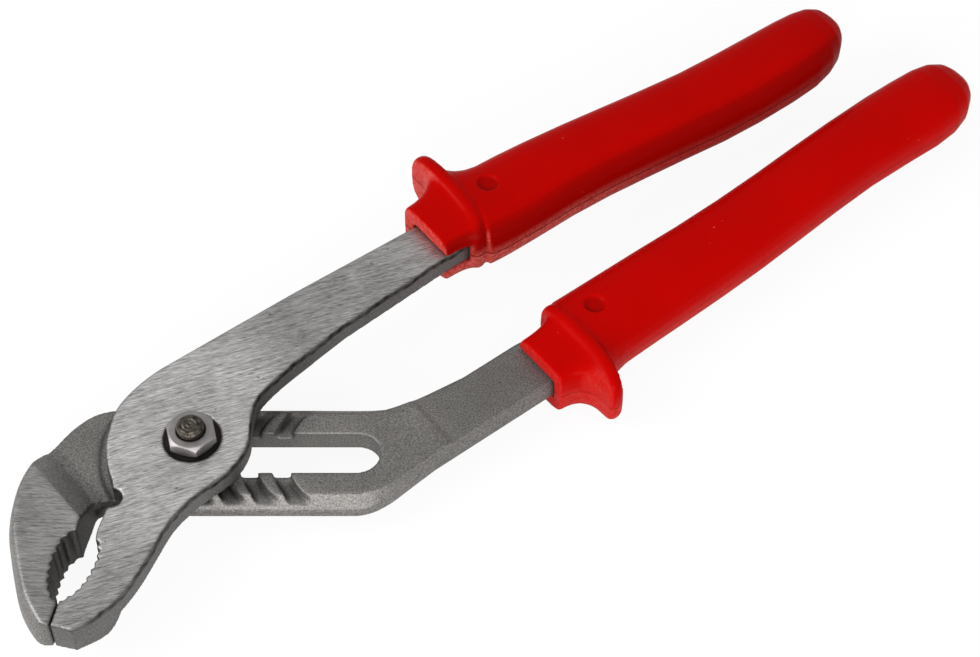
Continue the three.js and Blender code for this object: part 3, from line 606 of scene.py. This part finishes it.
def moulded_vinyl(name, seam_height, reds_as_lit, painted_sheen_share, seam_share):
    """Soft PVC, injection moulded over the tangs: an even, saturated red with a low gloss, a hairline
    where the mould's halves met, a pale, speckled painted sheen, a painted reflection of the table, on
    the undersides and the front, and painted shade on the near side and in the mould's mark."""
    made, tree, surface = shader(name, IOR=1.53, Specular_IOR_Level=0.02)
    place = add_node(tree, "ShaderNodeTexCoord").outputs["Object"]
    front, side, painted_sheen_along, pressed = [
        add_node(tree, "ShaderNodeAttribute", {"attribute_name": kept}).outputs["Fac"]
        for kept in ("front", "side", "painted_sheen_along", "pressed")
    ]
    cloud = add_node(tree, "ShaderNodeTexNoise", Vector=place, Scale=1 / (RED_CLOUD * MM), Detail=2.0)
    patches = add_node(tree, "ShaderNodeTexNoise", Vector=place, Scale=1 / (GLOSS_PATCH * MM), Detail=3.0)
    fine = add_node(tree, "ShaderNodeTexNoise", Vector=place, Scale=1 / (FINE_GRAIN * MM), Detail=2.0)
    scuffs = vinyl_scuffs(tree, place, patches)
    speckle = vinyl_speckle(tree, place, painted_sheen_share)

    # The seam is a line at one height, and the painted sheen lies below it and on the front faces
    height = add_node(tree, "ShaderNodeSeparateXYZ", Vector=place).outputs["Z"]
    over_seam = add_node(tree, "ShaderNodeMath", SUBTRACT, n0=height, n1=seam_height * MM)
    distance = add_node(tree, "ShaderNodeMath", ABSOLUTE, n0=over_seam)
    seam = add_node(tree, "ShaderNodeMapRange", Value=distance, **SEAM_WIDTH)
    below = add_node(tree, "ShaderNodeMapRange", Value=over_seam, **PAINTED_SHEEN_GROWS)
    under = add_node(tree, "ShaderNodeMath", MULTIPLY, n0=below, n1=painted_sheen_along)
    sheen_on_grip = add_node(tree, "ShaderNodeMath", MAXIMUM, n0=under, n1=front)

    # The red, with each layer over the one before
    # The painted sheen, speckled, with the scuffs added
    pale = add_node(tree, "ShaderNodeMath", MULTIPLY_ADD, n0=sheen_on_grip, n1=speckle, n2=scuffs)
    lined = add_node(tree, "ShaderNodeMath", MULTIPLY, n0=seam, n1=seam_share)
    marked = add_node(tree, "ShaderNodeMath", MULTIPLY, n0=pressed, n1=MARK_SHADE)
    dark, light = [linear(tone) for tone in reds_as_lit]
    finish = add_node(tree, "ShaderNodeMix", COLOUR_MIX, Factor=cloud, n6=dark, n7=light).outputs[2]
    # Layers in turn: painted shade on the near side, painted sheen with scuffs, the seam, and painted
    # shade in the mould's mark
    for share, tone in ((side, DEEP_RED), (pale, SHEEN_AND_SCUFF_TONE), (lined, DEEP_RED), (marked, DEEP_RED)):
        layer = add_node(tree, "ShaderNodeMix", COLOUR_MIX, Factor=share, n6=finish, n7=linear(tone))
        finish = layer.outputs[2]

    gloss = add_node(tree, "ShaderNodeMapRange", Value=patches, **VINYL_ROUGHNESS)
    dent = SEAM_DENT * seam_share
    relief = add_node(tree, "ShaderNodeMath", MULTIPLY_ADD, n0=seam, n1=dent, n2=fine)
    bump = add_node(tree, "ShaderNodeBump", Height=relief, **VINYL_RELIEF)
    set_inputs(tree, surface, {"Base Color": finish, "Roughness": gloss, "Normal": bump})
    return made


# Pieces

def dress(piece, body, node, material):
    """Gives a piece its material and slot, and lets it ride on its body in place of a frame node."""
    piece.data.materials.clear()
    piece.data.materials.append(material)
    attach(piece, body)
    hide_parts(node)


def steel_piece(name, node, body, material, teeth_facing, crease_ends=None):
    """One of the two forged halves."""
    piece = softened(node, name, STEEL_GRAIN, STEEL_ROUNDS)
    mark_wear(piece)
    mark_hollow(piece)
    mark_ground(piece)
    mark_seat_shadow_and_crease(piece, crease_ends)
    mark_mouth_shade(piece, teeth_facing)
    dress(piece, body, node, material)


def small_piece(name, node, body, material):
    """The bolt or the nut."""
    piece = softened(node, name, SMALL_GRAIN, SMALL_ROUNDS)
    mark_wear(piece)
    dress(piece, body, node, material)


def vinyl_piece(name, node, body, dimple, reds_as_lit, side_shade_share, painted_sheen_share, seam_share):
    """One of the two grips. The shares are how dark the painted shade on its near side, how pale its
    painted sheen and how dark its seam is. Its reds are painted as lit, so they differ between grips."""
    piece = softened(node, name, GRIP_GRAIN, GRIP_ROUNDS)
    mark_painted_sheen_and_shade(piece, side_shade_share)
    press_dimple(piece, dimple)
    vinyl = moulded_vinyl("pvc_" + node, SEAM_HEIGHTS[node], reds_as_lit, painted_sheen_share, seam_share)
    dress(piece, body, node, vinyl)


steel_piece(
    "plate_forging",
    node="tongue_half",
    body="tongue_side",
    material=steel(
        "ground_plate_steel",
        wheel_angle=20,
        ground_tones=("#7C7A79", "#E6E4E3"),
        blasted_tones=("#605E5C", "#838180"),
    ),
    teeth_facing=-1,
    crease_ends=(-47, 70),
)
steel_piece(
    "slotted_forging",
    node="slotted_half",
    body="slotted_side",
    material=steel(
        "blasted_arm_steel",
        wheel_angle=0,
        ground_tones=("#7A7877", "#CCCAC9"),
        blasted_tones=("#666462", "#9A9794"),
    ),
    teeth_facing=1,
)
small_piece("bolt", node="pivot_bolt", body="pivot", material=dark_bolt_steel())
small_piece("nut", node="pivot_nut", body="pivot", material=zinc_plating())
vinyl_piece(
    "upper_handle_grip",
    node="upper_grip",
    body="tongue_side",
    dimple=(63.7, 68.8),
    # Both grips are one vinyl; the upper grip's reds are painted darker and the lower's lighter, as
    # painted shade and light
    reds_as_lit=("#9C0200", "#AA0200"),
    side_shade_share=0.5,
    painted_sheen_share=0.46,
    seam_share=0.75,
)
vinyl_piece(
    "lower_handle_grip",
    node="lower_grip",
    body="slotted_side",
    dimple=(87.9, 37.9),
    reds_as_lit=("#A20200", "#B20200"),
    side_shade_share=0,
    painted_sheen_share=0.13,
    seam_share=0.32,
)


# Studio: a white table that keeps the shadow, and soft daylight boxes

WHITE = "#FFFFFF"

# The camera sees the room as plain white, at a strength of 1, and the room lights the tool with less
SEEN_LIGHT = 1.0
ROOM_LIGHT = 0.62

# The table is paper under the lamps, mixed with these shares of plain white where the camera sees it
# and where the tool mirrors it
TABLE_SIZE = 3000
TABLE_PAPER = "#F4F4F4"
SEEN_SHARE = 0.92
MIRRORED_SHARE = 0.3

# The point on the table that both boxes are turned to
LAMP_AIM = (70, 30, 0)

# The camera as it was fitted to the photograph: its place, its tilt in degrees from straight down,
# and its focal length in the photograph's pixels
CAMERA_PLACE = (64.2, -283.0, 424.7)
CAMERA_TILT = 37.5
PHOTO_WIDTH = 980
FOCAL_PIXELS = 2300
SENSOR_WIDTH = 36


def white_table():
    """A table that is nearly plain white to the camera and still keeps the tool's shadow."""
    bpy.ops.mesh.primitive_plane_add(size=TABLE_SIZE * MM)
    table = bpy.context.object
    table.name = "table"
    made = bpy.data.materials.new("white_table")
    made.use_nodes = True
    tree = made.node_tree
    tree.nodes.clear()
    paper = add_node(tree, "ShaderNodeBsdfDiffuse", Color=linear(TABLE_PAPER))
    glow = add_node(tree, "ShaderNodeEmission", Strength=SEEN_LIGHT)
    rays = add_node(tree, "ShaderNodeLightPath").outputs
    seen = add_node(tree, "ShaderNodeMath", MULTIPLY, n0=rays["Is Camera Ray"], n1=SEEN_SHARE)
    mirrored = add_node(tree, "ShaderNodeMath", MULTIPLY, n0=rays["Is Glossy Ray"], n1=MIRRORED_SHARE)
    share = add_node(tree, "ShaderNodeMath", ADD, n0=seen, n1=mirrored)
    mix = add_node(tree, "ShaderNodeMixShader", n0=share, n1=paper, n2=glow)
    add_node(tree, "ShaderNodeOutputMaterial", Surface=mix)
    table.data.materials.append(made)


def daylight():
    """An even white room, which lights the tool less than the camera sees of it."""
    world = bpy.data.worlds.new("studio")
    bpy.context.scene.world = world
    world.use_nodes = True
    tree = world.node_tree
    tree.nodes.clear()
    rays = add_node(tree, "ShaderNodeLightPath").outputs
    room = add_node(tree, "ShaderNodeBackground", Color=linear(WHITE), Strength=ROOM_LIGHT)
    seen = add_node(tree, "ShaderNodeBackground", Color=linear(WHITE), Strength=SEEN_LIGHT)
    mix = add_node(tree, "ShaderNodeMixShader", n0=rays["Is Camera Ray"], n1=room, n2=seen)
    add_node(tree, "ShaderNodeOutputWorld", Surface=mix)


def soft_box(name, place, size, watts):
    """A rectangular lamp, turned to the tool."""
    lamp = bpy.data.lights.new(name, "AREA")
    lamp.shape = "RECTANGLE"
    lamp.size = size[0] * MM
    lamp.size_y = size[1] * MM
    lamp.energy = watts
    holder = bpy.data.objects.new(name, lamp)
    bpy.context.scene.collection.objects.link(holder)
    holder.location = Vector(place) * MM
    way = Vector(LAMP_AIM) * MM - holder.location
    holder.rotation_euler = way.to_track_quat("-Z", "Y").to_euler()


def camera():
    """The camera, with the photograph's place, tilt and angle of view."""
    lens = bpy.data.cameras.new("camera")
    lens.sensor_width = SENSOR_WIDTH
    lens.lens = FOCAL_PIXELS / PHOTO_WIDTH * SENSOR_WIDTH
    holder = bpy.data.objects.new("camera", lens)
    bpy.context.scene.collection.objects.link(holder)
    holder.location = Vector(CAMERA_PLACE) * MM
    holder.rotation_euler = (radians(CAMERA_TILT), 0, 0)
    bpy.context.scene.camera = holder


white_table()
daylight()
soft_box("left_box", place=(-620, -120, 520), size=(500, 500), watts=4.6)
soft_box("front_box", place=(120, -720, 460), size=(700, 260), watts=5.2)
camera()
bpy.context.scene.view_settings.view_transform = "Standard"
